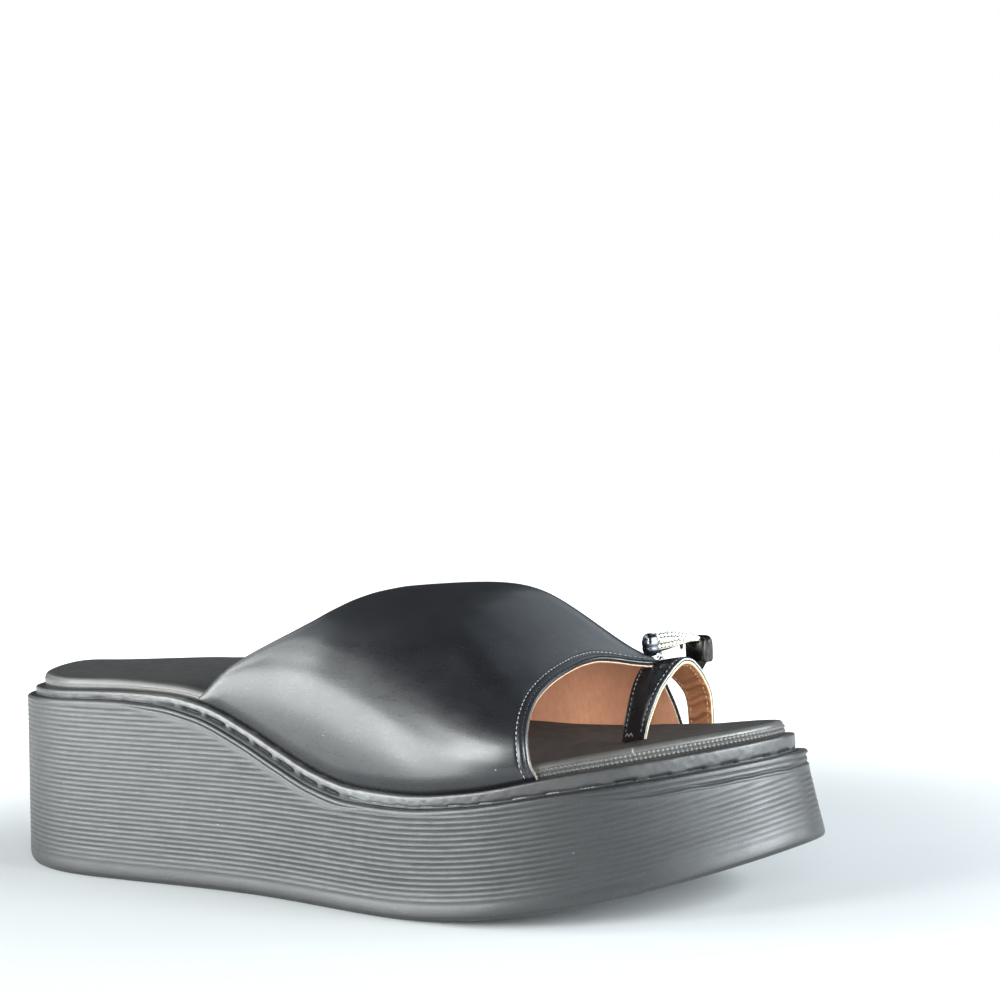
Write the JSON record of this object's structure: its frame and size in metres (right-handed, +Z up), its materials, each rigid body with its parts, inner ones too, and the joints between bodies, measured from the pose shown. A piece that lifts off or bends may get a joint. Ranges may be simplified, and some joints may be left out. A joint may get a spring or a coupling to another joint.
{
  "type": "platform slide sandal",
  "caption": "Women's platform slide sandal, right shoe, with ribbed wedge platform, padded footbed, glossy lined leather vamp and a big-toe loop with a metal ornament.",
  "frame": {"origin": "on the floor under the middle of the sole's outline", "axes": "+X to the toe, +Y to the medial (big-toe) side, +Z up"},
  "size_m": [0.2634, 0.097, 0.0842],
  "materials": {
    "sole_foam": "matt moulded foam, ribbed side wall",
    "midsole_wrap": "satin wrapped edge",
    "footbed_cover": "matt embossed cover",
    "upper_leather": "brushed glossy black leather with tan lining",
    "ornament_metal": "polished metal with small clear stones"
  },
  "bodies": {
    "root": {"platform_sole": "sole_foam", "midsole": "midsole_wrap", "footbed": "footbed_cover", "upper": "upper_leather", "toe_ornament": "ornament_metal"}
  },
  "joints": []
}
